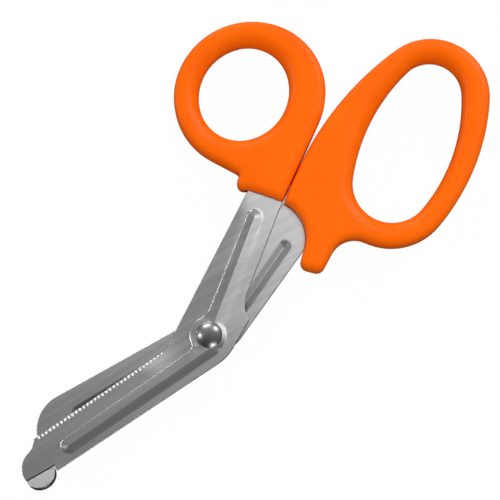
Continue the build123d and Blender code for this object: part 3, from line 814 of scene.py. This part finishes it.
def polished_steel():
    """Tumbled and polished steel with a faint fine grain."""
    return grained_steel(
        "polished_rivet_steel", 900.0, 4.0, (0.36, 0.36, 0.37), (0.43, 0.43, 0.43), 0.31, 0.35
    )


rivet_mesh = turned_mesh("pivot_rivet_steel", profile)
rivet_mesh.materials.append(polished_steel())
rivet_mesh.set_sharp_from_angle(angle=math.radians(RIVET_SHARP))
rivet = bpy.data.objects.new("pivot_rivet_steel", rivet_mesh)
bpy.context.scene.collection.objects.link(rivet)
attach(rivet, "finger_half")
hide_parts("pivot_rivet")

# Handles: orange plastic moulded over the tangs, with a round ring for the thumb and a long loop for the
# fingers. Mould edges are generously rounded and the skin has a fine satin texture.
VOXEL = 0.4
SOFTENING = 14


def moulded_plastic():
    """Orange plastic with a fine even texture."""
    material = bpy.data.materials.new("orange_moulded_plastic")
    material.use_nodes = True
    nodes, links = material.node_tree.nodes, material.node_tree.links
    shader = nodes["Principled BSDF"]
    shader.inputs["Specular IOR Level"].default_value = 0.09
    place = nodes.new("ShaderNodeTexCoord")
    cloud = nodes.new("ShaderNodeTexNoise")
    cloud.inputs["Scale"].default_value = 60.0
    cloud.inputs["Detail"].default_value = 3.0
    links.new(place.outputs["Object"], cloud.inputs["Vector"])
    colour = nodes.new("ShaderNodeValToRGB")
    colour.color_ramp.elements[0].position = 0.3
    colour.color_ramp.elements[0].color = (0.93, 0.125, 0.001, 1)
    colour.color_ramp.elements[1].position = 0.7
    colour.color_ramp.elements[1].color = (0.96, 0.145, 0.002, 1)
    links.new(cloud.outputs["Fac"], colour.inputs["Fac"])
    links.new(colour.outputs["Color"], shader.inputs["Base Color"])
    skin = nodes.new("ShaderNodeTexNoise")
    skin.inputs["Scale"].default_value = 1600.0
    skin.inputs["Detail"].default_value = 3.0
    links.new(place.outputs["Object"], skin.inputs["Vector"])
    rough = nodes.new("ShaderNodeMapRange")
    rough.inputs["To Min"].default_value = 0.28
    rough.inputs["To Max"].default_value = 0.38
    links.new(skin.outputs["Fac"], rough.inputs["Value"])
    links.new(rough.outputs["Result"], shader.inputs["Roughness"])
    bump = nodes.new("ShaderNodeBump")
    bump.inputs["Strength"].default_value = 0.12
    bump.inputs["Distance"].default_value = 0.0001
    links.new(skin.outputs["Fac"], bump.inputs["Height"])
    links.new(bump.outputs["Normal"], shader.inputs["Normal"])
    return material


handle_plastic = moulded_plastic()


def moulded_handle(name, node):
    """A handle with the solid's shape and the soft edges of a moulding."""
    form = bmesh.new()
    form.from_mesh(frame["nodes"][node].data)
    bmesh.ops.remove_doubles(form, verts=form.verts, dist=1e-6)
    mesh = bpy.data.meshes.new(name)
    form.to_mesh(mesh)
    form.free()
    piece = bpy.data.objects.new(name, mesh)
    bpy.context.scene.collection.objects.link(piece)
    remesh = piece.modifiers.new("remesh", "REMESH")
    remesh.mode = "VOXEL"
    remesh.voxel_size = VOXEL * MM
    soften = piece.modifiers.new("soften", "SMOOTH")
    soften.factor = 0.5
    soften.iterations = SOFTENING
    smooth_mesh = plain_copy(piece)
    piece.modifiers.clear()
    piece.data = smooth_mesh
    bpy.data.meshes.remove(mesh)
    smooth_mesh.name = name
    smooth_mesh.polygons.foreach_set("use_smooth", [True] * len(smooth_mesh.polygons))
    smooth_mesh.materials.clear()
    smooth_mesh.materials.append(handle_plastic)
    return piece


handles = []
for name, node, body in (
    ("thumb_ring_moulding", "thumb_handle", "thumb_half"),
    ("finger_loop_moulding", "finger_handle", "finger_half"),
):
    handle = moulded_handle(name, node)
    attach(handle, body)
    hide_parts(node)
    handles.append(handle)

# Studio: a white floor that keeps a faint shadow, soft panels round the piece and a camera that looks
# down on it. Directions are those of the picture: right and up as the camera sees them.
SHOT_TURN = 62.0                   # the scissors' long axis turned in the picture
SHOT_TILT = 7.5
SHOT_DISTANCE = 0.700
SHOT_SCALE = 0.308                 # millimetres in a pixel at the blades
SHOT_TARGET = (29.2, 1.4)          # the middle of the picture, from the pivot
PICTURE = 500
SENSOR = 36.0
FLOOR_REACH = 2.0
picture_right = Vector((*turned(-SHOT_TURN), 0))
picture_up = Vector((*turned(90 - SHOT_TURN), 0))
target = pivot + Vector((*SHOT_TARGET, 0)) * MM
floor_mesh = bpy.data.meshes.new("studio_floor")
floor_corners = [(x * FLOOR_REACH, y * FLOOR_REACH, 0) for x, y in ((-1, -1), (1, -1), (1, 1), (-1, 1))]
floor_mesh.from_pydata(floor_corners, [], [(0, 1, 2, 3)])
floor = bpy.data.objects.new("studio_floor", floor_mesh)
bpy.context.scene.collection.objects.link(floor)
floor_paint = bpy.data.materials.new("white_floor")
floor_paint.use_nodes = True
nodes, links = floor_paint.node_tree.nodes, floor_paint.node_tree.links
paint = nodes["Principled BSDF"]
paint.inputs["Base Color"].default_value = (0.2, 0.2, 0.2, 1)
paint.inputs["Roughness"].default_value = 0.9
glow = nodes.new("ShaderNodeEmission")
glow.inputs["Strength"].default_value = 1.06
rays = nodes.new("ShaderNodeLightPath")
# the glow fades by ambient occlusion in narrow gaps between the parts, which paints shade on the floor
# there
gap_occlusion = nodes.new("ShaderNodeAmbientOcclusion")
gap_occlusion.inputs["Distance"].default_value = 0.03
glow_outside_gaps = nodes.new("ShaderNodeMapRange")
glow_outside_gaps.inputs["From Min"].default_value = 0.01
glow_outside_gaps.inputs["From Max"].default_value = 0.04
glow_outside_gaps.inputs["To Max"].default_value = 0.93
links.new(gap_occlusion.outputs["AO"], glow_outside_gaps.inputs["Value"])
share = nodes.new("ShaderNodeMath")
share.operation = "MULTIPLY"
links.new(rays.outputs["Is Camera Ray"], share.inputs[0])
links.new(glow_outside_gaps.outputs["Result"], share.inputs[1])
# reflections in the steel see a dark grey floor in place of the paint, which paints shade on the steel's
# walls and edges
painted_reflection_shade = nodes.new("ShaderNodeBsdfDiffuse")
painted_reflection_shade.inputs["Color"].default_value = (0.10, 0.10, 0.10, 1)
mirrored = nodes.new("ShaderNodeMixShader")
links.new(rays.outputs["Is Glossy Ray"], mirrored.inputs["Fac"])
links.new(paint.outputs["BSDF"], mirrored.inputs[1])
links.new(painted_reflection_shade.outputs["BSDF"], mirrored.inputs[2])
mix = nodes.new("ShaderNodeMixShader")
links.new(share.outputs["Value"], mix.inputs["Fac"])
links.new(mirrored.outputs["Shader"], mix.inputs[1])
links.new(glow.outputs["Emission"], mix.inputs[2])
links.new(mix.outputs["Shader"], nodes["Material Output"].inputs["Surface"])
floor_mesh.materials.append(floor_paint)

world = bpy.data.worlds.new("studio")
world.use_nodes = True
nodes, links = world.node_tree.nodes, world.node_tree.links
way = nodes.new("ShaderNodeTexCoord")
lit_side = nodes.new("ShaderNodeVectorMath")
lit_side.operation = "DOT_PRODUCT"
lit_side.inputs[1].default_value = picture_right * 0.1 + picture_up
links.new(way.outputs["Generated"], lit_side.inputs[0])
grey = nodes.new("ShaderNodeMapRange")
grey.inputs["From Min"].default_value = -1.0
grey.inputs["To Min"].default_value = 0.03
grey.inputs["To Max"].default_value = 0.47
links.new(lit_side.outputs["Value"], grey.inputs["Value"])
links.new(grey.outputs["Result"], nodes["Background"].inputs["Color"])
bpy.context.scene.world = world


def standing(spot, back, up):
    """The placing of a lamp or camera at a spot, looking away from a direction, with a side held up."""
    back = back.normalized()
    right = up.cross(back).normalized()
    return Matrix.Translation(spot) @ Matrix((right, back.cross(right), back)).transposed().to_4x4()


def soft_panel(name, right, up, height, width, depth, brightness, turn=None):
    """A soft lamp at a place in the picture. It faces the object, or straight down if a turn is given."""
    lamp = bpy.data.lights.new(name, "AREA")
    lamp.shape = "RECTANGLE"
    lamp.size = width
    lamp.size_y = depth
    lamp.energy = brightness * math.pi * width * depth
    panel = bpy.data.objects.new(name, lamp)
    spot = target + picture_right * right + picture_up * up + Vector((0, 0, height))
    if turn is None:
        panel.matrix_world = standing(spot, spot - target, Vector((0, 0, 1)))
    else:
        panel.matrix_world = standing(spot, Vector((0, 0, 1)), Vector((*turned(90 - SHOT_TURN + turn), 0)))
    bpy.context.scene.collection.objects.link(panel)
    return panel


def flagged(panel, pieces, state):
    """Hold a panel's light off some pieces, or keep it for them."""
    group = bpy.data.collections.new(panel.name + "_flag")
    panel.light_linking.receiver_collection = group
    for number, piece in enumerate(pieces):
        group.objects.link(piece)
        group.collection_objects[number].light_linking.link_state = state


overhead = soft_panel("panel_over", 0.346, 0.229, 0.80, 0.71, 0.45, 1.65, turn=-20)
over_left = soft_panel("panel_over_left", -0.46, -0.25, 0.80, 0.30, 0.30, 1.0, turn=-20)
soft_panel("panel_top", -0.25, 0.85, 0.30, 0.55, 0.2, 8.0)
top_right = soft_panel("panel_top_right", 0.72, 0.75, 0.48, 0.32, 0.26, 10.0)
soft_panel("panel_left", -0.95, -0.05, 0.40, 0.26, 0.2, 11.0)
bottom = soft_panel("panel_bottom", 0.35, -0.95, 0.22, 0.40, 0.24, 8.0)
low_left = soft_panel("panel_low_left", -1.1, 0.42, 0.12, 0.5, 0.08, 14.0)
key = soft_panel("panel_key", 0.46, 0.48, 0.80, 0.55, 0.55, 5.2)
fill = soft_panel("panel_fill", 0.05, -0.95, 0.55, 0.60, 0.40, 7.5)

# the overhead panels and the lowest one are for the blades, and the key and the fill are for the handles
flagged(overhead, [rivet, *handles], "EXCLUDE")
flagged(over_left, [rivet, *handles], "EXCLUDE")
flagged(low_left, [rivet], "EXCLUDE")
flagged(top_right, [serrated, plain], "EXCLUDE")
flagged(bottom, handles, "EXCLUDE")
flagged(key, handles, "INCLUDE")
flagged(fill, handles, "INCLUDE")
fill.visible_glossy = False

lens = bpy.data.cameras.new("camera")
lens.sensor_width = SENSOR
lens.lens = SENSOR * SHOT_DISTANCE / (SHOT_SCALE * MM * PICTURE)
camera = bpy.data.objects.new("camera", lens)
tilt = math.radians(SHOT_TILT)
back = Vector((0, 0, math.cos(tilt))) - picture_up * math.sin(tilt)
camera.matrix_world = standing(target + back * SHOT_DISTANCE, back, picture_up)
bpy.context.scene.collection.objects.link(camera)
bpy.context.scene.camera = camera
bpy.context.scene.view_settings.view_transform = "Standard"
